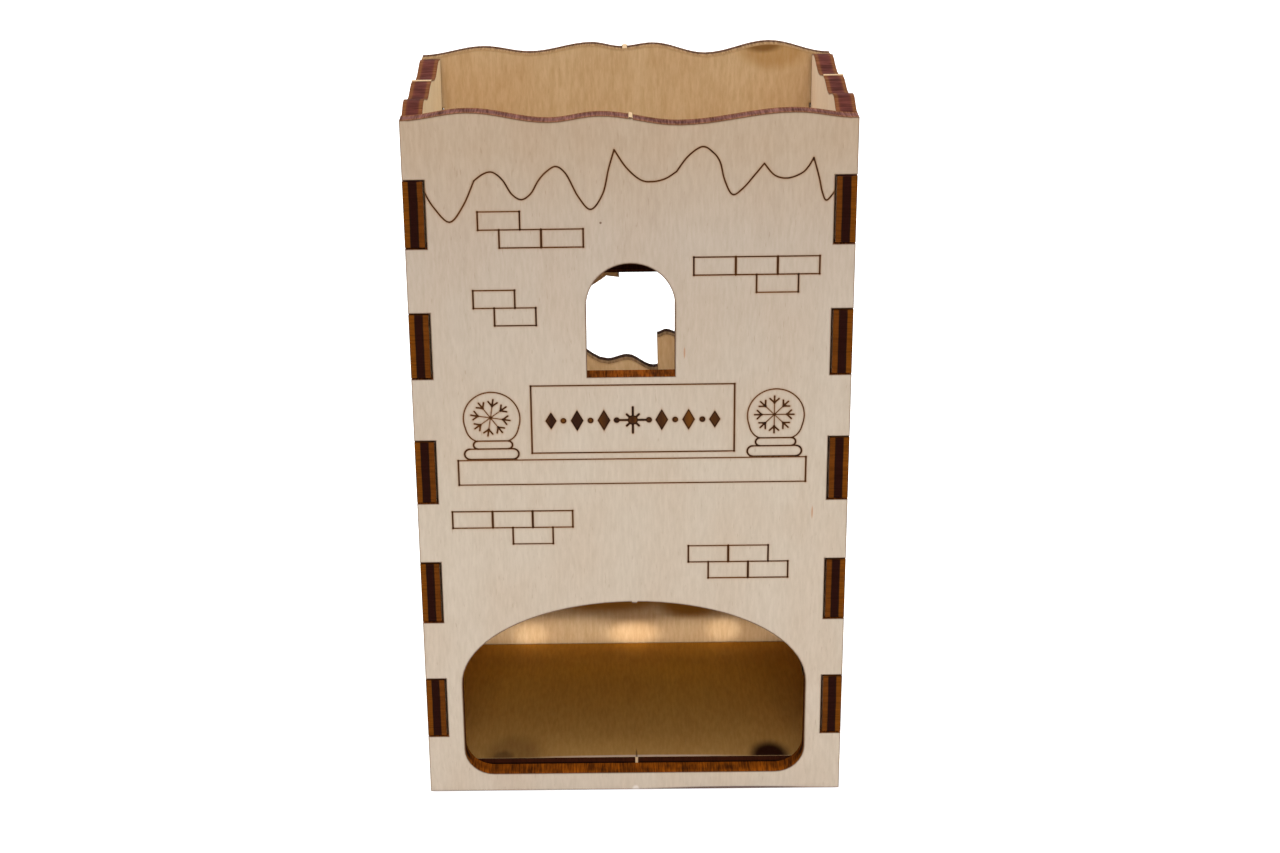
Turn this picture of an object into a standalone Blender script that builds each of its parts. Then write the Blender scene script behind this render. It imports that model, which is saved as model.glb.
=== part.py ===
"""Mini dice tower, laser-cut from three-ply birch sheet and glued at its finger joints.

Four walls make an open shaft. Three sloping baffles, with end tabs through the side
panels, turn the dice on their way down, and a floor board takes them out through the
arched opening in the front panel. Metres, +Z up, front towards -Y, origin under the
middle of the tower.
"""
import math

import bmesh
import bpy
from mathutils import Matrix, Vector

# Driving dimensions, in metres
PLY = 0.0029                # thickness of the plywood sheet
FIT = 0.00025               # kerf: the gap between pieces that meet
WIDTH = 0.0635              # across the side panels' outer faces
DEPTH = 0.0448              # across the front and back panels' outer faces
FINGER = 0.0098136          # height of one finger of the corner joints
FINGER_COUNT = 11           # fingers up a corner, the front panel's first and last

SILL_HEIGHT = 0.0030        # wood left under the exit opening
EXIT_WIDTH = 0.0523
EXIT_SPRING = 0.0187        # height at which the exit's arch starts
EXIT_RISE = 0.0138          # height of that arch
EXIT_CORNER = 0.0044        # corner radius at the sill

WINDOW_WIDTH = 0.0127       # also the diameter of its arch
WINDOW_HEIGHT = 0.0171      # from its sill to the top of the arch
WINDOW_DROP = 0.02225       # from the full height down to the top of the arch

SCENE_DROP = 0.05230        # from the full height down to the back opening's snowdrift
SCENE_WIDTH = 0.0340
SCENE_SPRING = 0.0190       # from the snowdrift up to where the opening's arch starts
SCENE_RISE = 0.0100

FLOOR_TOP = 0.0039          # height of the floor board's upper face
FLOOR_TAB = 0.0140          # length of the floor's two end tabs

BAFFLE_SLOPE = math.radians(38)
BAFFLE_GAP = 0.0200         # clear way past each baffle's low end
BAFFLE_TAB = 0.0090         # length of a baffle's end tabs
UPPER_DROP = 0.01825        # from the full height down to where its lower face meets the wall
MIDDLE_DROP = 0.04295       # the same, for the middle baffle
LOWER_HEIGHT = 0.0359       # height at which the lower baffle's lower face meets its wall

# The wavy rims: place along the edge from 0 to 1, and drop below the full height.
# The edge is level at each of these crests and troughs, and eased between them.
FRONT_RIM = ((0, 0.0012), (0.145, 0.0002), (0.325, 0.0017), (0.435, 0.0009),
             (0.61, 0.0023), (0.86, 0.0007), (1, 0.0016))
BACK_RIM = ((0, 0.0019), (0.15, 0.0006), (0.265, 0.0015), (0.415, 0.0002), (0.49, 0.0009),
            (0.565, 0.0004), (0.695, 0.0021), (0.85, 0.0003), (1, 0.0022))
SIDE_RIM = ((0, 0.0016), (0.12, 0.0003), (0.32, 0.0017), (0.48, 0.0010),
            (0.715, 0.0023), (0.92, 0.0014), (1, 0.0019))
RIM_STEPS = 8

# The snowdrift and the snow-capped chimney on it: across, and above the drift's height
DRIFT_LEFT = ((-0.0170, 0.0005), (-0.0110, 0.0034), (-0.0034, -0.0005), (-0.0002, 0.0002),
              (0.0041, -0.0017), (0.0048, -0.0016))
CHIMNEY_CAP = ((0.0047, 0.0040), (0.0062, 0.0045), (0.0083, 0.0039))
DRIFT_RIGHT = ((0.0081, -0.0012), (0.0092, -0.0016), (0.0132, 0.0016), (0.0170, 0))
DRIFT_STEPS = 6

# The fir boughs that hang into the back opening from its upper corners: tips and
# notches, across, and above the drift's height. The right one runs up to the arch, and
# the left one runs down from it.
RIGHT_BOUGH = ((0.0170, 0.0110), (0.0152, 0.0132), (0.0128, 0.0135), (0.0134, 0.0156),
               (0.0106, 0.0164), (0.0116, 0.0186), (0.0092, 0.0196), (0.0104, 0.0216),
               (0.0086, 0.0229), (0.0098, 0.0245), (0.0092, 0.0274))
LEFT_BOUGH = ((0.0046, 0.0286), (0.0043, 0.0246), (0.0012, 0.0222), (0.0026, 0.0208),
              (-0.0006, 0.0190), (0.0006, 0.0178), (-0.0021, 0.0164), (-0.0014, 0.0144),
              (-0.0035, 0.0147), (-0.0041, 0.0142), (-0.0059, 0.0130), (-0.0072, 0.0113),
              (-0.0080, 0.0122), (-0.0103, 0.0094), (-0.0112, 0.0104), (-0.0138, 0.0076),
              (-0.0170, 0.0084))

FULL_HEIGHT = FINGER * FINGER_COUNT
INNER_X = WIDTH / 2 - PLY           # inner face of a side panel
INNER_Y = DEPTH / 2 - PLY           # inner face of the front or back panel

# Colours of the sanded sheet's face, and of its duller inner boards
FACE_COLOUR = (0.58, 0.45, 0.32, 1)
BOARD_COLOUR = (0.46, 0.32, 0.19, 1)
ROUGHNESS = 0.62


def new_collection(name):
    collection = bpy.data.collections.new(name)
    bpy.context.scene.collection.children.link(collection)
    return collection


def new_material(name, colour):
    material = bpy.data.materials.new(name)
    material.use_nodes = True
    shader = material.node_tree.nodes["Principled BSDF"]
    shader.inputs["Base Color"].default_value = colour
    shader.inputs["Roughness"].default_value = ROUGHNESS
    shader.inputs["Metallic"].default_value = 0
    return material


def cut_panel(name, loops, placement, colour, collection):
    """One piece of sheet: an outline with its holes, PLY thick, put in its place."""
    curve = bpy.data.curves.new(name + "_outline", "CURVE")
    curve.dimensions = "2D"
    curve.fill_mode = "BOTH"
    curve.extrude = PLY / 2
    for loop in loops:
        spline = curve.splines.new("POLY")
        spline.points.add(len(loop) - 1)
        for point, (u, v) in zip(spline.points, loop):
            point.co = (u, v, 0, 1)
        spline.use_cyclic_u = True
    outline = bpy.data.objects.new(name + "_outline", curve)
    collection.objects.link(outline)
    outline.matrix_world = placement
    bpy.context.view_layer.update()
    evaluated = outline.evaluated_get(bpy.context.evaluated_depsgraph_get())
    mesh = bpy.data.meshes.new_from_object(evaluated)
    mesh.name = name
    weld = bmesh.new()
    weld.from_mesh(mesh)
    bmesh.ops.remove_doubles(weld, verts=weld.verts, dist=0.00001)
    bmesh.ops.recalc_face_normals(weld, faces=weld.faces)
    weld.to_mesh(mesh)
    weld.free()
    panel = bpy.data.objects.new(name, mesh)
    panel.matrix_world = outline.matrix_world
    collection.objects.link(panel)
    bpy.data.objects.remove(outline)
    mesh.materials.clear()
    mesh.materials.append(new_material(name + "_wood", colour))
    return panel


def eased(points, steps):
    """Points of a smooth wave that is level at each crest and trough given."""
    wave = []
    for (u0, v0), (u1, v1) in zip(points, points[1:]):
        for step in range(steps):
            share = step / steps
            wave.append((u0 + (u1 - u0) * share,
                         v0 + (v1 - v0) * (1 - math.cos(math.pi * share)) / 2))
    wave.append(points[-1])
    return wave


def arc(centre, radii, first, last, steps):
    """Points of an elliptical arc between two angles in degrees, both ends included."""
    turn = [math.radians(first + (last - first) * step / steps) for step in range(steps + 1)]
    return [(centre[0] + radii[0] * math.cos(a), centre[1] + radii[1] * math.sin(a)) for a in turn]


def finger_edge(tip, root, starts_at_tip):
    """A corner's fingers, from the foot up, each finger shortened to leave the kerf."""
    at_tip = starts_at_tip
    points = [(tip if at_tip else root, 0)]
    for count in range(1, FINGER_COUNT):
        height = count * FINGER + (-FIT / 2 if at_tip else FIT / 2)
        here, there = (tip, root) if at_tip else (root, tip)
        points += [(here, height), (there, height)]
        at_tip = not at_tip
    return points


def wall_outline(tip, root, starts_at_tip, rim):
    """A wall panel: straight foot, fingers up both edges, and a wavy rim between them."""
    edge = finger_edge(tip, root, starts_at_tip)
    end = tip if starts_at_tip else root
    crests = [(end * (2 * place - 1), FULL_HEIGHT - drop) for place, drop in rim]
    left_edge = [(-u, v) for u, v in edge]
    return left_edge + eased(crests, RIM_STEPS) + edge[::-1]


def exit_hole():
    half = EXIT_WIDTH / 2
    low = SILL_HEIGHT + EXIT_CORNER
    corner = (EXIT_CORNER, EXIT_CORNER)
    left_corner = arc((-half + EXIT_CORNER, low), corner, 180, 270, 8)
    right_corner = arc((half - EXIT_CORNER, low), corner, 270, 360, 8)
    arch = arc((0, EXIT_SPRING), (half, EXIT_RISE), 0, 180, 40)
    return left_corner + right_corner + arch


def window_hole():
    half = WINDOW_WIDTH / 2
    top = FULL_HEIGHT - WINDOW_DROP
    sill = top - WINDOW_HEIGHT
    return [(-half, sill), (half, sill)] + arc((0, top - half), (half, half), 0, 180, 24)


def scene_hole():
    """The back opening: a snowdrift with a chimney, under an arch with fir boughs."""
    drift = FULL_HEIGHT - SCENE_DROP

    def raised(points):
        return [(u, drift + v) for u, v in points]

    half = SCENE_WIDTH / 2
    arch_ends = [math.degrees(math.acos(bough_end[0] / half))
                 for bough_end in (RIGHT_BOUGH[-1], LEFT_BOUGH[0])]
    arch = arc((0, drift + SCENE_SPRING), (half, SCENE_RISE), *arch_ends, 6)
    return (eased(raised(DRIFT_LEFT), DRIFT_STEPS) + eased(raised(CHIMNEY_CAP), DRIFT_STEPS)
            + eased(raised(DRIFT_RIGHT), DRIFT_STEPS) + raised(RIGHT_BOUGH[:-1]) + arch
            + raised(LEFT_BOUGH[1:]))


def board_outline(length, tab):
    """A board between the side panels, with one tab through each of them."""
    side = INNER_X - FIT
    half = length / 2
    right = [(side, -half), (side, -tab / 2), (WIDTH / 2, -tab / 2),
             (WIDTH / 2, tab / 2), (side, tab / 2), (side, half)]
    return right + [(-u, v) for u, v in right[::-1]]


def upright(location):
    """Stands a panel up, drawn across and upwards, with its face towards -Y."""
    return Matrix.Translation(location) @ Matrix.Rotation(math.pi / 2, 4, "X")


def sideways(location):
    """Stands a panel up, drawn front to back and upwards, with its face towards +X."""
    turn = Matrix.Rotation(math.pi / 2, 4, "Z") @ Matrix.Rotation(math.pi / 2, 4, "X")
    return Matrix.Translation(location) @ turn


def baffle_centre(wall, wall_height):
    """Middle of a baffle that slopes down from its wall (+1 back, -1 front), and its length.

    The board's ends are square, so its lower corner meets the wall, and its upper corner
    is the tip that leaves the gap to the other wall.
    """
    slope, lean = math.cos(BAFFLE_SLOPE), math.sin(BAFFLE_SLOPE)
    wall_corner = INNER_Y - FIT
    tip_corner = -INNER_Y + BAFFLE_GAP + PLY * lean
    length = (wall_corner - tip_corner) / slope
    across = (wall_corner + tip_corner) / 2 - PLY / 2 * lean
    height = wall_height - length / 2 * lean + PLY / 2 * slope
    return Vector((0, wall * across, height)), length


def baffle_slot(wall, centre):
    """Slot in a side panel for a baffle's tab, at the baffle's place and slope."""
    half_u, half_v = BAFFLE_TAB / 2 + FIT, PLY / 2 + FIT
    turn = Matrix.Rotation(wall * BAFFLE_SLOPE, 2)
    corners = [(-half_u, -half_v), (half_u, -half_v), (half_u, half_v), (-half_u, half_v)]
    return [tuple(turn @ Vector(corner) + centre.yz) for corner in corners]


def side_outline():
    """A side panel's outline, with the notch in its foot for the floor's tab."""
    outline = wall_outline(DEPTH / 2, INNER_Y - FIT, False, SIDE_RIM)
    reach, top = FLOOR_TAB / 2 + FIT, FLOOR_TOP + FIT
    return outline + [(reach, 0), (reach, top), (-reach, top), (-reach, 0)]


for old in list(bpy.data.objects):
    bpy.data.objects.remove(old)
parts = new_collection("dice_tower")

WALL_TIP_X = WIDTH / 2
WALL_ROOT_X = INNER_X - FIT
front_loops = [wall_outline(WALL_TIP_X, WALL_ROOT_X, True, FRONT_RIM), exit_hole(), window_hole()]
back_loops = [wall_outline(WALL_TIP_X, WALL_ROOT_X, True, BACK_RIM), scene_hole()]
cut_panel("front_panel", front_loops, upright((0, -DEPTH / 2 + PLY / 2, 0)), FACE_COLOUR, parts)
cut_panel("back_panel", back_loops, upright((0, DEPTH / 2 - PLY / 2, 0)), FACE_COLOUR, parts)

floor_length = 2 * (INNER_Y - FIT)
floor_place = Matrix.Translation((0, 0, FLOOR_TOP - PLY / 2))
floor_loops = [board_outline(floor_length, FLOOR_TAB)]
cut_panel("floor_panel", floor_loops, floor_place, BOARD_COLOUR, parts)

side_loops = [side_outline()]
baffles = (("upper_baffle", 1, FULL_HEIGHT - UPPER_DROP),
           ("middle_baffle", -1, FULL_HEIGHT - MIDDLE_DROP), ("lower_baffle", 1, LOWER_HEIGHT))
for name, wall, wall_height in baffles:
    centre, length = baffle_centre(wall, wall_height)
    place = Matrix.Translation(centre) @ Matrix.Rotation(wall * BAFFLE_SLOPE, 4, "X")
    cut_panel(name, [board_outline(length, BAFFLE_TAB)], place, BOARD_COLOUR, parts)
    side_loops.append(baffle_slot(wall, centre))

for name, side in (("left_panel", -1), ("right_panel", 1)):
    place = sideways((side * (WIDTH / 2 - PLY / 2), 0, 0))
    cut_panel(name, side_loops, place, FACE_COLOUR, parts)
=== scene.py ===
import math

import bmesh
import bpy
import numpy as np
from mathutils import Matrix, Vector


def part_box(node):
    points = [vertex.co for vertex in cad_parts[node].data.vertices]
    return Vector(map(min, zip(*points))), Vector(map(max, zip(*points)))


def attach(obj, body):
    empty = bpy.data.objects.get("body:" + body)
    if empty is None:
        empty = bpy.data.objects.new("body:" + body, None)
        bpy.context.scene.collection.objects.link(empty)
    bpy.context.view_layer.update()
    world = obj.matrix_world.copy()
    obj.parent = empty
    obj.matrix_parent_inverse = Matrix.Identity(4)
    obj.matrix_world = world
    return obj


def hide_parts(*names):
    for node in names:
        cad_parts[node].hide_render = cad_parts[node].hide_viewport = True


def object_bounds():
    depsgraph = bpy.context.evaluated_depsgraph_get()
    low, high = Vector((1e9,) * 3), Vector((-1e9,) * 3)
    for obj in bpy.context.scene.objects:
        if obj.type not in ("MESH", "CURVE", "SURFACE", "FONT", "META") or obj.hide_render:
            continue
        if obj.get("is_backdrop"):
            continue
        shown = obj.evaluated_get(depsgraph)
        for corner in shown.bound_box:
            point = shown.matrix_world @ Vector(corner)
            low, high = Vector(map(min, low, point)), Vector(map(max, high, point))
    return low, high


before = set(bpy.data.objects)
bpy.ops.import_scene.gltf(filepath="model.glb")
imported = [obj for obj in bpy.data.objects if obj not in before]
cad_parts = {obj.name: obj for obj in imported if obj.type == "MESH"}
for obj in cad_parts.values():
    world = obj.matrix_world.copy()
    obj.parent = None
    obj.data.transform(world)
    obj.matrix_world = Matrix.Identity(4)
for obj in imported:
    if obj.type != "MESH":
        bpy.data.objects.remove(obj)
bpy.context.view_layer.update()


# ---------------------------------------------------------------------------------------
# Camera: higher than the rim and in line with the middle of the front panel, tipped down
# so that it sees the face and, over its rim, the upper part of the shaft.
camera_data = bpy.data.cameras.new("camera")
camera_data.sensor_width = 36
camera_data.lens = 62.66
camera_data.shift_x = 0.0456
camera_data.shift_y = 0.0094
camera_data.clip_start = 0.01
camera_data.dof.use_dof = False
camera = bpy.data.objects.new("camera", camera_data)
bpy.context.scene.collection.objects.link(camera)
camera_pitch, camera_yaw, camera_roll = (math.radians(a) for a in (22.191, -0.853, -1.008))
aim = Vector((math.sin(camera_yaw) * math.cos(camera_pitch),
              math.cos(camera_yaw) * math.cos(camera_pitch), -math.sin(camera_pitch)))
level_right = Vector((math.cos(camera_yaw), -math.sin(camera_yaw), 0))
level_up = level_right.cross(aim)
camera_right = level_right * math.cos(camera_roll) + level_up * math.sin(camera_roll)
camera_up = level_up * math.cos(camera_roll) - level_right * math.sin(camera_roll)
camera.matrix_world = Matrix.Translation((-0.002813, -0.323276, 0.18184)) @ Matrix(
    (camera_right, camera_up, -aim)).transposed().to_4x4()
bpy.context.scene.camera = camera


# ---------------------------------------------------------------------------------------
# Studio: a white sweep under large soft lights, one overhead, one in front and one either
# side, with a pale sky that fills in all round and small lamps inside the shaft.
class Finish:
    """A value in a finish's node tree. Arithmetic on it adds Math nodes."""

    def __init__(self, tree, socket=None):
        self.tree = tree
        self.socket = socket

    def node(self, kind, values, settings=(), output=0):
        """A new node's output. Settings are the node's own, and values go to its inputs."""
        made = self.tree.nodes.new("ShaderNode" + kind)
        for name, value in dict(settings).items():
            if name == "stops":
                first, *middle, last = value
                for stop, (place, tint) in zip(made.color_ramp.elements, (first, last)):
                    stop.position = place
                    stop.color = tint
                for place, tint in middle:
                    made.color_ramp.elements.new(place).color = tint
            else:
                setattr(made, name, value)
        for name, value in dict(values).items():
            if isinstance(value, Finish):
                self.tree.links.new(value.socket, made.inputs[name])
            else:
                made.inputs[name].default_value = value
        return Finish(self.tree, made.outputs[output])

    def compute(self, operation, first, second=0.0):
        return self.node("Math", {0: first, 1: second}, {"operation": operation})

    def __add__(self, other):
        return self.compute("ADD", self, other)

    def __sub__(self, other):
        return self.compute("SUBTRACT", self, other)

    def __mul__(self, other):
        return self.compute("MULTIPLY", self, other)

    def __truediv__(self, other):
        return self.compute("DIVIDE", self, other)

    def __rsub__(self, other):
        return self.compute("SUBTRACT", other, self)

    __radd__ = __add__
    __rmul__ = __mul__

    def between(self, low, high, first=0.0, last=1.0):
        """A smooth step from first, where the value is low, to last, where it is high."""
        return self.node("MapRange", {"Value": self, "From Min": low, "From Max": high,
                                      "To Min": first, "To Max": last},
                         {"interpolation_type": "SMOOTHSTEP"})

    def blend(self, first, second):
        """A colour that is first where this value is 0 and second where it is 1."""
        return self.node("Mix", {0: self, 6: first, 7: second}, {"data_type": "RGBA"}, 2)


def colour(red, green, blue):
    """A colour given as it looks on a screen, from 0 to 255, for a socket."""
    return (*[((c / 255 + 0.055) / 1.055) ** 2.4 if c > 10 else c / 3294.6
              for c in (red, green, blue)], 1)


bpy.context.scene.view_settings.view_transform = "Standard"
world = bpy.data.worlds.new("studio")
bpy.context.scene.world = world
world.use_nodes = True
# The camera sees a white sky; the pieces are filled in by a dimmer one.
sky = Finish(world.node_tree)
sky_fill = sky.node("Background", {"Color": (1, 0.99, 0.98, 1), "Strength": 0.50})
sky_seen = sky.node("Background", {"Color": (1, 1, 1, 1), "Strength": 1.0})
sky_mix = sky.node("MixShader", {0: sky.node("LightPath", {}), 1: sky_fill, 2: sky_seen})
world.node_tree.links.new(sky_mix.socket, world.node_tree.nodes["World Output"].inputs["Surface"])


def softbox(name, direction, strength, spread, tint):
    """A large soft light from that direction, far enough off to fall evenly everywhere.

    Spread is its width as seen from the tower, in degrees.
    """
    data = bpy.data.lights.new(name, "SUN")
    data.energy = strength
    data.angle = math.radians(spread)
    data.color = tint
    light = bpy.data.objects.new(name, data)
    bpy.context.scene.collection.objects.link(light)
    light.rotation_euler = Vector(direction).to_track_quat("Z", "Y").to_euler()


softbox("overhead_softbox", (0.05, -0.1, 1), 0.82, 80, (1, 0.985, 0.96))
softbox("front_softbox", (0.06, -1, 0.53), 0.82, 28, (1, 0.98, 0.95))
softbox("left_softbox", (-1, -0.04, 0.8), 1.1, 40, (1, 0.98, 0.95))
softbox("right_softbox", (1, -0.04, 0.8), 1.1, 40, (1, 0.98, 0.95))

# Small lamps behind the front panel, five low down and one just below the window, pick out
# glints on the back panel's inner face: each is at lamp_z and points at foot_z.
LAMP_Y = -0.012
back_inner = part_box("back_panel")[0].y
for lamp_x, lamp_z, foot_z, lamp_power, lamp_spread, lamp_width in (
        (-0.0172, 0.0110, 0.0056, 0.019, 10, 1.4), (0.0005, 0.0110, 0.0055, 0.025, 11, 1.8),
        (0.0158, 0.0110, 0.0062, 0.018, 10, 1.4), (-0.0140, 0.0110, 0.0060, 0.021, 13, 6.5),
        (0.0130, 0.0110, 0.0058, 0.020, 13, 6.5), (-0.0014, 0.0660, 0.0575, 0.017, 44, 1.9)):
    lamp_data = bpy.data.lights.new("shaft_lamp", "SPOT")
    lamp_data.energy = lamp_power
    lamp_data.spot_size = math.radians(lamp_spread)
    lamp_data.spot_blend = 1
    lamp_data.shadow_soft_size = 0.0005
    lamp_data.color = (1, 0.96, 0.91)
    lamp = bpy.data.objects.new("shaft_lamp", lamp_data)
    bpy.context.scene.collection.objects.link(lamp)
    lamp.location = (lamp_x, LAMP_Y, lamp_z)
    lamp_aim = Vector((lamp_x, back_inner, foot_z)) - lamp.location
    lamp.rotation_euler = lamp_aim.to_track_quat("-Z", "Y").to_euler()
    lamp.scale = (lamp_width, 1, 1)
    lamp.visible_camera = False

SWEEP_HALF, SWEEP_DROP = 4, 0.0002
sweep_mesh = bpy.data.meshes.new("sweep")
sweep_shape = bmesh.new()
bmesh.ops.create_grid(sweep_shape, x_segments=8, y_segments=8, size=SWEEP_HALF)
bmesh.ops.translate(sweep_shape, verts=sweep_shape.verts, vec=(0, 0, -SWEEP_DROP))
sweep_shape.to_mesh(sweep_mesh)
sweep_shape.free()
sweep = bpy.data.objects.new("sweep", sweep_mesh)
bpy.context.scene.collection.objects.link(sweep)
sweep_paper = bpy.data.materials.new("sweep_paper")
sweep_paper.use_nodes = True
paper = Finish(sweep_paper.node_tree)
paper_place = paper.node("TexCoord", {}, output=3)
paper_mottle = paper.node("TexNoise", {"Vector": paper_place, "Scale": 40.0, "Detail": 3.0})
paper_shader = sweep_paper.node_tree.nodes["Principled BSDF"]
paper_tone = paper_mottle.blend((0.79, 0.79, 0.785, 1), (0.81, 0.81, 0.805, 1))
sweep_paper.node_tree.links.new(paper_tone.socket, paper_shader.inputs["Base Color"])
paper_shader.inputs["Roughness"].default_value = 0.9
# The camera sees the paper glow, which hides its shadows and lights nothing else.
paper_glow = paper.node("LightPath", {}).blend((0, 0, 0, 1), (1, 1, 1, 1))
sweep_paper.node_tree.links.new(paper_glow.socket, paper_shader.inputs["Emission Color"])
paper_shader.inputs["Emission Strength"].default_value = 0.7
paper_shader.inputs["Specular IOR Level"].default_value = 0.1
sweep_mesh.materials.append(sweep_paper)
sweep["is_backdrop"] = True


# ---------------------------------------------------------------------------------------
# Front panel: three-ply birch with its grain upright, laser-cut with fingers up both
# edges, an arched exit and a small arched window, and then engraved by a light pass of
# the same beam: bricks under settled snow, and a mantel shelf with two snow globes.
ACROSS, BACKWARD, UP = Vector((1, 0, 0)), Vector((0, 1, 0)), Vector((0, 0, 1))
SCORCHED_MARGIN = 0.0004
SAME_POINT, SAME_LEVEL = 0.000001, 0.00001


def welded_copy(node):
    """A panel's shape from the frame, with its loose triangles joined up."""
    shape = bmesh.new()
    shape.from_mesh(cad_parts[node].data)
    bmesh.ops.remove_doubles(shape, verts=shape.verts, dist=SAME_POINT)
    bmesh.ops.dissolve_limit(shape, angle_limit=0.001, verts=shape.verts, edges=shape.edges)
    return shape


def outer_direction(shape, side):
    """The way the sheet's outer face looks: the side of its largest faces nearest to side."""
    widest = max(shape.faces, key=lambda face: face.calc_area()).normal.copy()
    return widest if widest.dot(side) > 0 else -widest


def faces_at(shape, outward, level):
    """The faces that lie flat at that level, measured along outward."""
    return [face for face in shape.faces
            if all(abs(vert.co.dot(outward) - level) < SAME_LEVEL for vert in face.verts)]


def mark_sheet(shape, outward):
    """Tells cut edges from faces, and insets the faces by the width of the scorched margin.

    Layer ply runs from 0 on the outer face to 1 on the inner one, and layer margin from
    0 at the cut to 1 on unburnt wood. Layer nub is 1 where a bridge is left. Slot 0 is the
    veneer and slot 1 the cut edge.
    """
    ply = shape.verts.layers.float.new("ply")
    margin = shape.verts.layers.float.new("margin")
    shape.verts.layers.float.new("nub")
    depths = [vert.co.dot(outward) for vert in shape.verts]
    for face in shape.faces:
        face.material_index = 1
        face.smooth = True
    for level in (max(depths), min(depths)):
        broad = faces_at(shape, outward, level)
        for face in broad:
            face.material_index = 0
            face.smooth = False
        bmesh.ops.inset_region(shape, faces=broad, thickness=SCORCHED_MARGIN, depth=0,
                               use_boundary=True, use_even_offset=False)
        for vert in {vert for face in broad for vert in face.verts}:
            vert[margin] = 1
    for vert in shape.verts:
        vert[ply] = (max(depths) - vert.co.dot(outward)) / (max(depths) - min(depths))


def leave_nub(shape, across, place, side, reach, half=0.0003):
    """Leaves a small bridge, where a piece was held in its sheet and snapped out of it.

    Edge vertices within half of place, measured along across, stand out by reach towards
    side, and the edge slopes up to them over a short shoulder.
    """
    shoulder, slack = 0.00018, 0.0001
    search, edge_band = 0.002, 0.0006
    nub = shape.verts.layers.float["nub"]
    near = [face for face in shape.faces
            if all(min(vert.co[axis] for vert in face.verts) - search < place[axis]
                   < max(vert.co[axis] for vert in face.verts) + search for axis in range(3))]
    for offset in (-half - shoulder, -half, half, half + shoulder):
        near = [face for face in near if face.is_valid]
        geom = near + list({e for f in near for e in f.edges} | {v for f in near for v in f.verts})
        cut = bmesh.ops.bisect_plane(shape, geom=geom, dist=SAME_POINT,
                                     plane_co=place + across * offset, plane_no=across)
        near = [item for item in cut["geom"] if isinstance(item, bmesh.types.BMFace)]
    for vert in shape.verts:
        gap = vert.co - place
        on_edge = any(face.material_index == 1 for face in vert.link_faces)
        if on_edge and abs(gap.dot(across)) < half + slack and abs(gap.dot(side)) < edge_band:
            vert.co += side * reach
            vert[nub] = 1


def finish_piece(name, shape, finishes, node):
    """Turns the worked shape into the piece that stands for its CAD node."""
    mesh = bpy.data.meshes.new(name)
    shape.to_mesh(mesh)
    shape.free()
    if "custom_normal" in mesh.attributes:
        mesh.attributes.remove(mesh.attributes["custom_normal"])
    for finish in finishes:
        mesh.materials.append(finish)
    mesh.set_sharp_from_angle(angle=math.radians(32))
    piece = bpy.data.objects.new(name, mesh)
    bpy.context.scene.collection.objects.link(piece)
    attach(piece, "root")
    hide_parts(node)


def new_finish(name):
    """A new material, with its node tree to build values in and its shader."""
    material = bpy.data.materials.new(name)
    material.use_nodes = True
    return material, Finish(material.node_tree), material.node_tree.nodes["Principled BSDF"]


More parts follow.
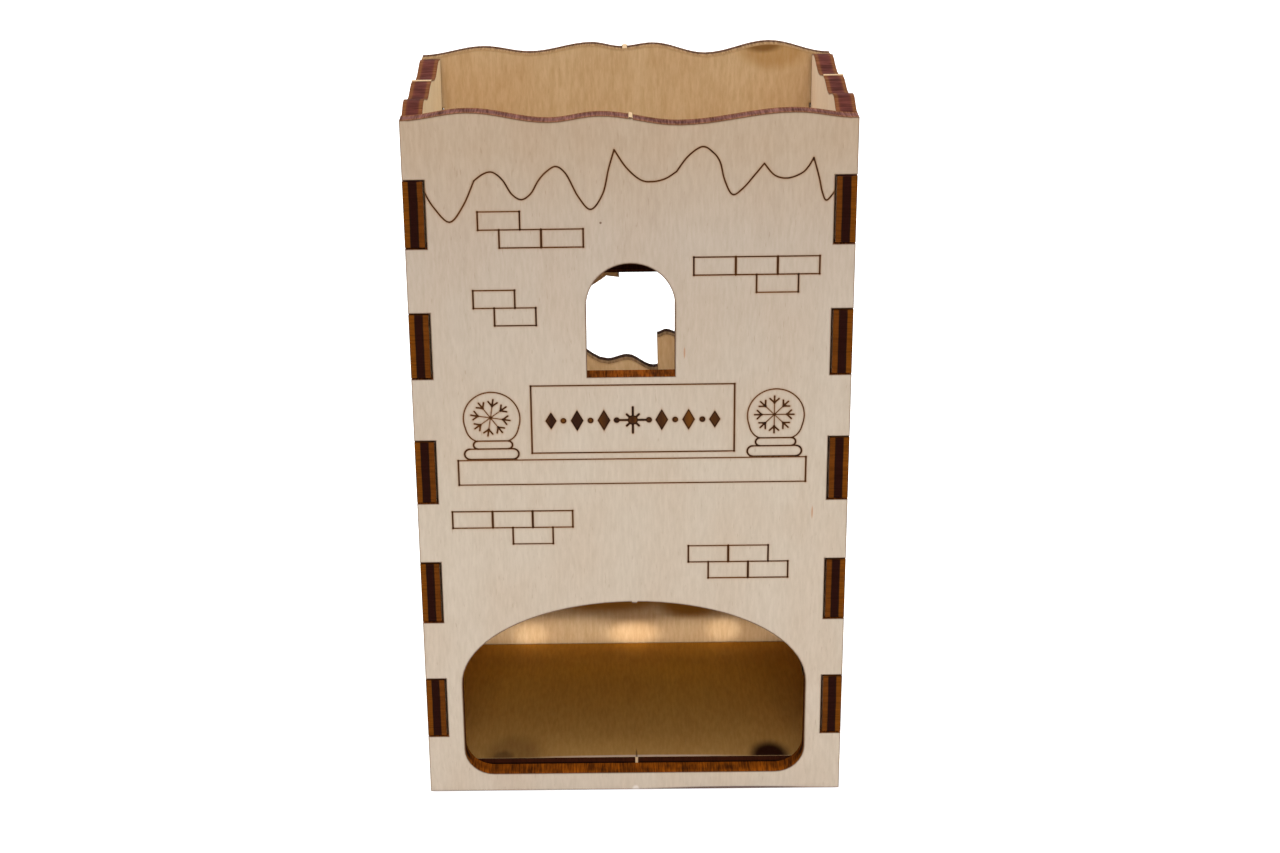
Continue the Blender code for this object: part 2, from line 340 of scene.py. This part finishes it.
def birch_veneer(name, grain, light, dark, scorch, seed, marks=(), painted_light=(), engraved=False,
                 brink=(0.042, 0.014, 0.006, 1)):
    """Sanded birch face: grain is the direction its fibres run in.

    Fine fibres, broad growth bands and soft clouds vary the colour between light and
    dark. The cut's heat browns the margin towards scorch, and the brink is the colour at
    the cut itself. Marks are (place, half sizes, colour, strength) of single streaks,
    stains and marks of painted shadow and painted highlight, painted_light is (direction,
    start, length, stops) of a slow change of tint across the face that paints light and
    shade onto it, and an engraved face burns brown in its lines.
    """
    material, wood, shader = new_finish(name)
    link = material.node_tree.links.new
    place = wood.node("TexCoord", {}, output=3)
    turn = UP.rotation_difference(grain).inverted().to_euler()
    laid = wood.node("Mapping", {"Vector": place, "Location": (seed, seed * 0.7, 0),
                                 "Rotation": turn})
    fibres = wood.node("Mapping", {"Vector": laid, "Scale": (2300, 2300, 430)})
    fibre = wood.node("TexNoise", {"Vector": fibres, "Scale": 1.0, "Detail": 4.0,
                                   "Roughness": 0.62})
    bands = wood.node("Mapping", {"Vector": laid, "Scale": (420, 420, 21)})
    band = wood.node("TexNoise", {"Vector": bands, "Scale": 1.0, "Detail": 3.0,
                                  "Roughness": 0.5, "Distortion": 0.4})
    clouds = wood.node("Mapping", {"Vector": laid, "Scale": (130, 130, 60)})
    cloud = wood.node("TexNoise", {"Vector": clouds, "Scale": 1.0, "Detail": 2.0})
    pores = wood.node("Mapping", {"Vector": laid, "Scale": (5200, 5200, 640)})
    pore = wood.node("TexNoise", {"Vector": pores, "Scale": 1.0, "Detail": 1.0}).between(0.68, 0.8)
    shade = fibre.between(0.2, 0.8) * 0.54 + band.between(0.2, 0.8) * 0.14 + cloud * 0.32
    tone = shade.blend(light, dark)
    warm = cloud.between(0.35, 0.7) * 0.35
    tone = warm.blend(tone, wood.node("Mix", {0: 1.0, 6: tone, 7: (1.0, 0.93, 0.88, 1)},
                                      {"data_type": "RGBA", "blend_type": "MULTIPLY"}, 2))
    tone = (pore * 0.22).blend(tone, scorch)
    for spot, halves, stain, strength in marks:
        gap = wood.node("VectorMath", {0: place, 1: spot}, {"operation": "SUBTRACT"})
        gap = wood.node("VectorMath", {0: gap, 1: halves}, {"operation": "DIVIDE"})
        far = wood.node("VectorMath", {0: gap}, {"operation": "LENGTH"}, 1)
        tone = (far.between(1.0, 0.45) * strength).blend(tone, stain)
    # Painted light and shade: a slow change of tint across the face.
    if painted_light:
        along, start, length, stops = painted_light
        run = wood.node("VectorMath", {0: place, 1: along}, {"operation": "DOT_PRODUCT"}, 1)
        painted_colour = wood.node("ValToRGB", {"Fac": (run - start) / length}, {"stops": stops})
        tone = wood.node("Mix", {0: 1.0, 6: tone, 7: painted_colour},
                         {"data_type": "RGBA", "blend_type": "MULTIPLY"}, 2)
    margin = wood.node("Attribute", {}, {"attribute_name": "margin"}, 2)
    heat = (1 - margin).between(0.1, 1.0) * (0.7 + 0.6 * fibre)
    tone = (heat * 0.5).blend(tone, scorch)
    tone = (margin.between(0.42, 0.12) * 0.72).blend(tone, brink)
    height = shade * 0.3
    if engraved:
        # Layer burn is the distance in millimetres from the drawing, negative inside it.
        burn = wood.node("Attribute", {}, {"attribute_name": "burn"}, 2)
        ragged = burn + (fibre - 0.5) * 0.05
        glow = wood.compute("EXPONENT", ragged * -9.0)
        tone = wood.compute("MINIMUM", glow * 0.5, 0.5).blend(tone, colour(146, 92, 38))
        core = ragged.between(0.035, -0.035)
        dwell = (ragged + (cloud - 0.5) * 0.1).between(0.0, -0.08)
        char = dwell.blend(colour(98, 56, 14), (band.between(0.35, 0.7) * 0.5).blend(
            colour(20, 7, 1), colour(92, 52, 8)))
        char = ragged.between(-0.12, -0.24).blend(char, band.between(0.35, 0.65).blend(
            colour(46, 20, 4), colour(108, 62, 10)))
        tone = core.blend(tone, char)
        height = height - core * 0.6
    link(tone.socket, shader.inputs["Base Color"])
    link(fibre.between(0.2, 0.8, 0.52, 0.68).socket, shader.inputs["Roughness"])
    bump = wood.node("Bump", {"Height": height, "Strength": 0.25, "Distance": 0.00006})
    link(bump.socket, shader.inputs["Normal"])
    shader.inputs["Specular IOR Level"].default_value = 0.1
    return material


def burnt_edge(name, through, outer, core, inner, rim, sill, seed, painted_sheen=()):
    """Laser-cut edge: two veneers, toasted brown, either side of a core burnt near black.

    Upward faces are evenly brown instead, with patches of smoke: painted light as well as
    dusty char, for they look so where light from above falls on them. Rim is their colour
    at the top of the tower and sill lower down, and painted_sheen, if given, a painted
    highlight on their inner half, where a rim reflects the bright backdrop. The beam leaves
    fine lines through the sheet's thickness, the direction given as through. A nub is torn
    wood, light and not burnt.
    """
    below_rims, at_rims = 0.094, 0.097
    material, wood, shader = new_finish(name)
    link = material.node_tree.links.new
    place = wood.node("TexCoord", {}, output=3)
    turn = UP.rotation_difference(through).inverted().to_euler()
    laid = wood.node("Mapping", {"Vector": place, "Location": (seed, seed * 0.7, 0),
                                 "Rotation": turn})
    lines = wood.node("Mapping", {"Vector": laid, "Scale": (4200, 4200, 260)})
    line = wood.node("TexNoise", {"Vector": lines, "Scale": 1.0, "Detail": 3.0, "Roughness": 0.6})
    patches = wood.node("Mapping", {"Vector": laid, "Scale": (420, 420, 300)})
    patch = wood.node("TexNoise", {"Vector": patches, "Scale": 1.0, "Detail": 2.0})
    ply = wood.node("Attribute", {}, {"attribute_name": "ply"}, 2)
    wander = ply + (patch - 0.5) * 0.05
    black = colour(24, 9, 4)
    stops = [(0.0, black), (0.035, outer), (0.26, outer), (0.31, black), (0.36, core),
             (0.64, core), (0.69, black), (0.74, inner), (0.965, inner), (1.0, black)]
    tone = wood.node("ValToRGB", {"Fac": wander}, {"stops": stops})
    facing = wood.node("SeparateXYZ", {0: wood.node("TexCoord", {}, output=1)}, output=2)
    high = wood.node("SeparateXYZ", {0: place}, output=2)
    smoke = patch.between(0.3, 0.7) * 0.45 + line.between(0.3, 0.7) * 0.35
    # Painted light and char: faces that point up, rims and sills alike, look lighter and evenly
    # brown where light from above falls on them, with patches of smoke.
    lit_rim_and_soot = smoke.blend(rim, colour(60, 26, 22))
    skin = wood.compute("ABSOLUTE", wander - 0.5).between(0.26, 0.36)
    lit_rim_and_soot = (skin * 0.5).blend(lit_rim_and_soot, colour(150, 98, 52))
    lit_sill_and_toast = (smoke * 1.2).blend(sill, colour(52, 22, 6))
    upward = high.between(below_rims, at_rims).blend(lit_sill_and_toast, lit_rim_and_soot)
    # Painted highlight: the inner half of a rim, where it reflects the bright backdrop.
    if painted_sheen:
        upward = wander.between(0.42, 0.56).blend(upward, painted_sheen)
    # Faces that point up take these painted-light colours in place of the layered edge.
    tone = (facing.between(0.35, 0.8) * 0.9).blend(tone, upward)
    tone = (line.between(0.35, 0.7) * 0.4).blend(tone, black)
    raw = wood.node("Attribute", {}, {"attribute_name": "nub"}, 2)
    tone = raw.between(0.2, 0.8).blend(tone, colour(214, 184, 146))
    link(tone.socket, shader.inputs["Base Color"])
    link(line.between(0.3, 0.7, 0.5, 0.85).socket, shader.inputs["Roughness"])
    bump = wood.node("Bump", {"Height": line, "Strength": 0.4, "Distance": 0.00008})
    link(bump.socket, shader.inputs["Normal"])
    shader.inputs["Specular IOR Level"].default_value = 0.05
    return material


# The drawing, in millimetres across and up the face: lines with the beam's width, points
# where it dwells, and solid lozenges.
BEAM = 0.19
BRICK_LENGTH, BRICK_HEIGHT = 5.93, 2.66
burnt_lines = []
burnt_lozenges = []


def burn_line(points, width=BEAM):
    """A line through the points, as wide as the beam unless a width is given."""
    for start, end in zip(points, points[1:]):
        burnt_lines.append((*start, *end, width / 2))


def burn_point(x, z, width):
    burnt_lines.append((x, z, x, z, width / 2))


def smooth_run(points, steps=6):
    """Points of a curve that passes smoothly through the ones given."""
    ends = [points[0], *points, points[-1]]
    run = []
    for before, start, end, after in zip(ends, ends[1:], ends[2:], ends[3:]):
        for step in range(steps):
            t = step / steps
            run.append(tuple(
                s + t * ((e - b) / 2 + t * ((2 * b - 5 * s + 4 * e - a) / 2
                                            + t * (3 * s - 3 * e + a - b) / 2))
                for b, s, e, a in zip(before, start, end, after)))
    return run + [points[-1]]


def round_arc(x, z, radius, first, last, steps):
    turns = [math.radians(first + (last - first) * step / steps) for step in range(steps + 1)]
    return [(x + radius * math.cos(turn), z + radius * math.sin(turn)) for turn in turns]


def burn_bar(left, right, low, high):
    """A bar with round ends."""
    radius = (high - low) / 2
    middle = (low + high) / 2
    right_end = round_arc(right - radius, middle, radius, -90, 90, 10)
    left_end = round_arc(left + radius, middle, radius, 90, 270, 10)
    burn_line(right_end + left_end + right_end[:1], 0.2)
    burn_line(right_end, 0.27)
    burn_line(left_end, 0.27)


def burn_bricks(left, top, courses):
    """A patch of brickwork: its courses from the top, each (offset in bricks, count)."""
    for row, (offset, count) in enumerate(courses):
        high = top - row * BRICK_HEIGHT
        low = high - BRICK_HEIGHT
        start = left + offset * BRICK_LENGTH
        end = start + count * BRICK_LENGTH
        burn_line([(start, high), (end, high)])
        burn_line([(start, low), (end, low)])
        for joint in range(count + 1):
            across = start + joint * BRICK_LENGTH
            shared = 0 < joint < count
            burn_line([(across, high), (across, low)], 0.33 if shared else 0.25)
            burn_point(across, high, 0.34)
            burn_point(across, low, 0.34)


def burn_snowflake(x, z, size, turn):
    """Eight arms, each forking into three short barbs."""
    fork = 0.64 * size
    for arm in range(8):
        angle = math.radians(turn + arm * 45)
        root = (x + fork * math.cos(angle), z + fork * math.sin(angle))
        burn_line([(x, z), root], 0.15)
        burn_point(*root, 0.38)
        for spread, length in ((-46, 0.32), (0, 0.36), (46, 0.32)):
            barb = angle + math.radians(spread)
            reach = length * size
            tip = (root[0] + reach * math.cos(barb), root[1] + reach * math.sin(barb))
            burn_line([root, tip], 0.25)
    burn_point(x, z, 0.42)


# The lower side of the settled snow, in runs that meet at its sharp points.
SNOW_RUNS = (
    ((-28.9, 97.8), (-28.6, 96.4), (-27.4, 94.2), (-25.3, 92.1), (-23.3, 94.5), (-21.7, 98.05)),
    ((-21.7, 98.05), (-20.4, 99.0), (-19.1, 99.25), (-17.7, 98.1), (-16.5, 96.1), (-15.15, 95.25),
     (-13.8, 96.1), (-12.75, 97.9), (-11.6, 99.2), (-10.2, 99.95), (-8.8, 98.8), (-7.2, 95.6),
     (-5.45, 93.7), (-3.75, 95.95), (-2.9, 99.5), (-2.1, 102.25)),
    ((-2.1, 102.25), (-0.47, 99.7), (1.5, 97.9), (3.2, 97.6), (5.0, 98.0), (6.56, 99.0)),
    ((6.56, 99.0), (8.2, 101.2), (10.15, 102.5), (11.6, 101.7), (12.6, 100.3), (13.26, 97.7),
     (14.35, 95.6), (15.8, 96.45), (17.5, 98.45), (18.75, 100.0)),
    ((18.75, 100.0), (20.2, 98.3), (22.0, 97.85), (23.9, 98.5), (24.9, 99.5), (25.6, 100.75)),
    ((25.6, 100.75), (26.4, 97.9), (26.9, 95.7), (27.55, 94.6), (28.9, 96.3)))
for snow_run in SNOW_RUNS:
    burn_line(smooth_run(snow_run), 0.23)
    burn_point(*snow_run[-1], 0.26)

burn_bricks(-21.4, 93.55, ((0, 1), (0.5, 2)))
burn_bricks(-22.4, 81.95, ((0, 1), (0.5, 1)))
burn_bricks(9.0, 86.5, ((0, 3), (1.5, 1)))
burn_bricks(-26.6, 47.6, ((0, 3), (1.5, 1)))
burn_bricks(8.3, 41.65, ((0, 2), (0.5, 2)))

# The mantel shelf and, standing on it, the plaque.
for left, right, low, high in ((-25.43, 25.46, 51.9, 55.8), (-14.55, 14.95, 56.85, 67.35)):
    corners = [(left, low), (right, low), (right, high), (left, high), (left, low)]
    burn_line([corners[0], corners[1]])
    burn_line([corners[2], corners[3]])
    burn_line([corners[1], corners[2]], 0.25)
    burn_line([corners[3], corners[4]], 0.25)
    for corner in corners[:4]:
        burn_point(*corner, 0.34)

# A snow globe either side of the plaque, each a glass that narrows to a ring and a base.
GLOBE_Z, GLOBE_RADIUS = 62.35, 4.12
for globe_x, ring_left, ring_right, base_left, base_right, flake_x, flake_turn in (
        (-20.33, -23.1, -17.4, -24.45, -16.5, -20.5, 36),
        (20.96, 18.06, 23.9, 16.86, 24.78, 20.73, 45)):
    burn_line(round_arc(globe_x, GLOBE_Z, GLOBE_RADIUS, -18, 198, 36))
    for side in (-1, 1):
        burn_line(smooth_run([(globe_x + side * across, GLOBE_Z - drop) for across, drop in (
            (3.92, 1.27), (3.62, 2.25), (3.1, 3.02), (2.5, 3.42), (2.3, 3.5))]), 0.2)
    burn_bar(ring_left, ring_right, 57.62, 58.85)
    burn_bar(base_left, base_right, 55.98, 57.6)
    burn_snowflake(flake_x, 62.5, 2.86, flake_turn)

# The plaque's ornament: a row of solid lozenges and dots either side of a star.
STAR_X, STAR_Z = 0.2, 61.9
for side in (-1, 1):
    for across, half_width, half_height in ((4.2, 0.95, 1.7), (8.1, 0.95, 1.7), (11.9, 0.85, 1.4)):
        burnt_lozenges.append((STAR_X + side * across, STAR_Z, half_width, half_height))
    for across in (2.35, 6.15, 10.1):
        burn_point(STAR_X + side * across, STAR_Z, 0.9)
for lean in (0, 45, 90, 135):
    reach = 2.0 if lean % 90 == 0 else 1.25
    ray_x, ray_z = reach * math.cos(math.radians(lean)), reach * math.sin(math.radians(lean))
    burn_line([(STAR_X - ray_x, STAR_Z - ray_z), (STAR_X + ray_x, STAR_Z + ray_z)], 0.34)
burn_point(STAR_X, STAR_Z, 1.5)

CLEAR_OF_DRAWING = 9.0


def burn_distance(places):
    """Distance in millimetres from each place to the burnt drawing, negative inside it."""
    nearest = np.full(len(places), CLEAR_OF_DRAWING)
    for x0, z0, x1, z1, half in burnt_lines:
        start, run = np.array((x0, z0)), np.array((x1 - x0, z1 - z0))
        share = np.clip((places - start) @ run / max(run @ run, 1e-9), 0, 1)
        gap = places - start - share[:, None] * run
        nearest = np.minimum(nearest, np.hypot(gap[:, 0], gap[:, 1]) - half)
    for x, z, half_width, half_height in burnt_lozenges:
        span = half_width * half_height / math.hypot(half_width, half_height)
        gap = np.abs(places - np.array((x, z)))
        spread = gap[:, 0] / half_width + gap[:, 1] / half_height
        nearest = np.minimum(nearest, (spread - 1) * span)
    return nearest


front_shape = welded_copy("front_panel")
front_out = outer_direction(front_shape, -BACKWARD)
mark_sheet(front_shape, front_out)
front_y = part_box("front_panel")[0].y
front_rim_height = max(vert.co.z for vert in front_shape.verts if abs(vert.co.x) < 0.003)
exit_crown = 0.0325
leave_nub(front_shape, ACROSS, Vector((0.00023, front_y, front_rim_height)), UP, 0.00022, 0.0002)
leave_nub(front_shape, ACROSS, Vector((0.00022, front_y, exit_crown)), -UP, 0.00025)

# The face is cut into squares, and those near the drawing are halved until the beam's
# width spans more than one of them.
SQUARE = 0.002
FINEST_SQUARE_MM = 0.13
front_faces = faces_at(front_shape, front_out, -front_y)
margin_layer = front_shape.verts.layers.float["margin"]
for axis, low, high in ((ACROSS, -0.032, 0.032), (UP, 0.0, 0.108)):
    steps = int(round((high - low) / SQUARE))
    for step in range(1, steps):
        geom = front_faces + list({e for f in front_faces for e in f.edges}
                                  | {v for f in front_faces for v in f.verts})
        cut = bmesh.ops.bisect_plane(front_shape, geom=geom, dist=SAME_POINT, plane_no=axis,
                                     plane_co=axis * (low + step * SQUARE))
        front_faces = [item for item in cut["geom"] if isinstance(item, bmesh.types.BMFace)]


def on_grid(edge):
    """Whether an edge of the face lies along one of the cuts between squares."""
    for axis in (0, 2):
        places = [vert.co[axis] / SQUARE for vert in edge.verts]
        if abs(places[0] - places[1]) < 0.001 and abs(places[0] - round(places[0])) < 0.001:
            return True
    return False


loose = [edge for edge in {e for f in front_faces for e in f.edges}
         if len(edge.link_faces) == 2 and not on_grid(edge)
         and all(face.material_index == 0 for face in edge.link_faces)
         and all(vert[margin_layer] > 0.999 for face in edge.link_faces for vert in face.verts)]
bmesh.ops.dissolve_edges(front_shape, edges=loose, use_verts=True)

square_mm = SQUARE * 1000
while square_mm > FINEST_SQUARE_MM:
    many = [face for face in faces_at(front_shape, front_out, -front_y) if len(face.verts) > 4]
    bmesh.ops.triangulate(front_shape, faces=many)
    front_faces = faces_at(front_shape, front_out, -front_y)
    centres = np.array([(c.x, c.z) for c in (f.calc_center_median() for f in front_faces)]) * 1000
    close = burn_distance(centres) < 0.75 * square_mm + 0.1
    edges = {edge for face, chosen in zip(front_faces, close) if chosen for edge in face.edges
             if edge.calc_length() > 0.0006 * square_mm}
    bmesh.ops.subdivide_edges(front_shape, edges=list(edges), cuts=1, use_grid_fill=True)
    square_mm /= 2

# Engraved lines are sunk into the face, to full depth a little way in from their sides.
ENGRAVED_DEPTH = 0.0001
ENGRAVED_SIDE_MM = 0.06
burn_layer = front_shape.verts.layers.float.new("burn")
places = np.array([(vert.co.x, vert.co.z) for vert in front_shape.verts]) * 1000
for vert, distance in zip(front_shape.verts, burn_distance(places)):
    on_face = vert.co.y < front_y + SAME_LEVEL
    vert[burn_layer] = distance if on_face else CLEAR_OF_DRAWING
    if on_face and distance < 0:
        vert.co.y += ENGRAVED_DEPTH * min(-distance / ENGRAVED_SIDE_MM, 1) ** 2

PALE_BIRCH, DEEP_BIRCH = colour(212, 197, 179), colour(190, 174, 154)
SCORCH, STREAK = colour(128, 84, 44), colour(186, 132, 96)

# Two streaks of darker grain, a pin knot, a painted shadow along the foot and a light spot in it.
front_marks = [
    (Vector((x, front_y, z)), Vector((half_width, 0.002, half_height)), stain, strength)
    for x, z, half_width, half_height, stain, strength in (
        (0.00769, 0.0722, 0.00016, 0.0011, STREAK, 0.7),
        (0.02656, 0.04692, 0.00016, 0.0013, STREAK, 0.7),
        (-0.00411, 0.09174, 0.00022, 0.00022, colour(96, 60, 40), 0.8),
        # Painted shadow: a dark line where the foot meets the sweep.
        (0.0152, 0.0, 0.0160, 0.0005, colour(62, 42, 54), 0.85),
        (0.0002, 0.0, 0.0007, 0.0009, colour(232, 222, 212), 0.9))]
# Painted shade: the face grows darker and browner towards the top, where less light falls on it.
FRONT_SHADING_PAINTED = (UP, 0, 0.108, ((0.0, (0.97, 0.97, 0.99, 1)), (0.5, (0.93, 0.94, 0.96, 1)),
                             (0.82, (0.83, 0.82, 0.84, 1)), (0.95, (0.78, 0.71, 0.65, 1))))
front_veneer = birch_veneer("front_veneer", UP, PALE_BIRCH, DEEP_BIRCH, SCORCH, 0.13,
                            front_marks, FRONT_SHADING_PAINTED, engraved=True)
GOLDEN, UMBER, TOASTED = colour(116, 62, 4), colour(36, 7, 2), colour(104, 54, 6)
front_edge = burnt_edge("front_cut_edge", front_out, GOLDEN, UMBER, TOASTED,
                        colour(146, 98, 88), colour(172, 90, 14), 0.21)
finish_piece("front_panel_engraved", front_shape, (front_veneer, front_edge), "front_panel")


# ---------------------------------------------------------------------------------------
# Back panel: the same sheet, with a wavy rim and a snow scene cut right through it. Its
# inner face is a browner veneer, browned at its cuts, with painted shade above the floor.
back_shape = welded_copy("back_panel")
back_out = outer_direction(back_shape, BACKWARD)
mark_sheet(back_shape, back_out)
back_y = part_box("back_panel")[1].y
back_rim_height = max(vert.co.z for vert in back_shape.verts if abs(vert.co.x) < 0.002)
leave_nub(back_shape, ACROSS, Vector((-0.0002, back_y, back_rim_height)), UP, 0.00025)

# Two stains at the rim's right end, then four patches of painted shade and a broad painted
# shade above the floor, all on the inner face, where the back wall lies in shadow.
BACK_SHADOW_PAINTED = colour(146, 96, 26)
back_marks = [
    (Vector((x, back_inner, z)), Vector((half_width, 0.001, half_height)), stain, strength)
    for x, z, half_width, half_height, stain, strength in (
        (0.0230, 0.1068, 0.0070, 0.0040, colour(172, 122, 52), 0.55),
        (0.0212, 0.1076, 0.0038, 0.0016, colour(112, 70, 16), 0.75),
        # Painted shade: patches that darken the back wall low down, over the floor, where it lies
        # in shadow.
        (-0.0060, 0.0165, 0.0170, 0.0078, BACK_SHADOW_PAINTED, 0.97),
        (0.0120, 0.0160, 0.0120, 0.0088, BACK_SHADOW_PAINTED, 0.97),
        (-0.0040, 0.0127, 0.0150, 0.0038, BACK_SHADOW_PAINTED, 0.93),
        (0.0100, 0.0116, 0.0070, 0.0038, BACK_SHADOW_PAINTED, 0.95),
        # A broad painted shadow higher up the back wall.
        (0.0, 0.0300, 0.0400, 0.0150, colour(110, 72, 24), 0.8))]
back_veneer = birch_veneer("back_veneer", UP, colour(222, 192, 150), colour(188, 150, 104),
                           colour(150, 110, 66), 0.37, back_marks, brink=colour(196, 158, 114))
back_edge = burnt_edge("back_cut_edge", back_out, GOLDEN, UMBER, TOASTED, colour(104, 76, 58),
                       colour(66, 46, 30), 0.43, colour(170, 134, 92))
finish_piece("back_panel_cut", back_shape, (back_veneer, back_edge), "back_panel")


# ---------------------------------------------------------------------------------------
# Side panels: their fingers fill the gaps between those of the front and back panels, and
# their slots take the tabs of the floor and the three baffles.
# Painted light: the side panels' birch is paler than the other pieces', for their brightly lit
# inner faces.
for node, outward, seed, light, dark in (
        ("left_panel", -ACROSS, 0.53, colour(236, 216, 180), colour(208, 184, 144)),
        ("right_panel", ACROSS, 0.71, colour(242, 222, 196), colour(216, 192, 164))):
    side_shape = welded_copy(node)
    mark_sheet(side_shape, outward)
    low_x, high_x = (corner.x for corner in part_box(node))
    side_x = low_x if outward.x < 0 else high_x
    side_rim_height = max(vert.co.z for vert in side_shape.verts if abs(vert.co.y) < 0.0025)
    leave_nub(side_shape, BACKWARD, Vector((side_x, 0.0006, side_rim_height)), UP, 0.00022)
    side_marks = ()
    if node == "left_panel":
        # A dark streak down from the rim, on the inner face.
        side_marks = ((Vector((high_x, 0.002, 0.098)), Vector((0.001, 0.0006, 0.006)),
                       colour(140, 96, 60), 0.5),)
    side_veneer = birch_veneer(node + "_veneer", UP, light, dark, SCORCH, seed, side_marks)
    side_edge = burnt_edge(node + "_cut_edge", outward, GOLDEN, UMBER, TOASTED,
                           colour(118, 62, 54), GOLDEN, seed + 0.1)
    finish_piece(node + "_cut", side_shape, (side_veneer, side_edge), node)


# ---------------------------------------------------------------------------------------
# Floor board: a plain board with a tab through each side panel, its grain front to back.
# Its front edge shows as a dark line just over the exit's sill.
floor_shape = welded_copy("floor_panel")
mark_sheet(floor_shape, UP)
floor_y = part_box("floor_panel")[0].y
floor_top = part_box("floor_panel")[1].z

# Along the front edge: a painted highlight line, soot at the right and left, and a scratch by the
# nub.
floor_marks = [
    (Vector((x, floor_y + inward, floor_top)), Vector((half_width, half_length, 0.002)), stain,
     strength)
    for x, inward, half_width, half_length, stain, strength in (
        # Painted highlight: the board's front corner, where light through the exit catches it.
        (0.0005, 0.0001, 0.0190, 0.0007, colour(204, 172, 128), 0.75),
        (0.0212, 0.0, 0.0040, 0.0058, colour(36, 8, 1), 1.0),
        (-0.0190, 0.0, 0.0060, 0.0090, colour(74, 40, 4), 0.4),
        (-0.0205, 0.0, 0.0022, 0.0030, colour(46, 14, 2), 0.5),
        (0.0004, 0.0002, 0.0002, 0.003, colour(60, 36, 12), 0.7))]
# Painted light: the board is greyer near the exit and a deeper, warmer brown further in, where
# only light bounced about the shaft reaches it.
FLOOR_LIGHTING_PAINTED = (BACKWARD, floor_y, 0.039, (
    (0.0, (0.92, 1.06, 1.75, 1)), (0.3, (1.1, 1.16, 1.36, 1)), (0.75, (1.36, 1.27, 0.6, 1)),
    (1.0, (1.2, 1.08, 0.34, 1))))
floor_veneer = birch_veneer("floor_veneer", BACKWARD, colour(180, 130, 58),
                            colour(150, 104, 42), colour(150, 110, 60), 0.87, floor_marks,
                            FLOOR_LIGHTING_PAINTED, brink=colour(206, 176, 134))
leave_nub(floor_shape, ACROSS, Vector((0.0004, floor_y, floor_top)), -BACKWARD, 0.0001, 0.00012)
floor_edge = burnt_edge("floor_cut_edge", UP, colour(60, 26, 12), UMBER, colour(46, 20, 8),
                        UMBER, UMBER, 0.93)
finish_piece("floor_board", floor_shape, (floor_veneer, floor_edge), "floor_panel")


# ---------------------------------------------------------------------------------------
# Baffles: three boards that slope down from the back, front and back walls in turn, each
# with a tab through each side panel and a burnt lower end.
for node, seed in (("upper_baffle", 1.1), ("middle_baffle", 1.3), ("lower_baffle", 1.7)):
    board_shape = welded_copy(node)
    board_out = outer_direction(board_shape, UP)
    mark_sheet(board_shape, board_out)
    fall = ACROSS.cross(board_out).normalized()
    board_veneer = birch_veneer(node + "_veneer", fall, colour(214, 186, 146),
                                colour(176, 142, 100), colour(84, 50, 24), seed)
    board_edge = burnt_edge(node + "_cut_edge", board_out, colour(70, 34, 10), UMBER,
                            colour(60, 28, 8), UMBER, UMBER, seed + 0.1)
    finish_piece(node + "_board", board_shape, (board_veneer, board_edge), node)


low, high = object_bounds()
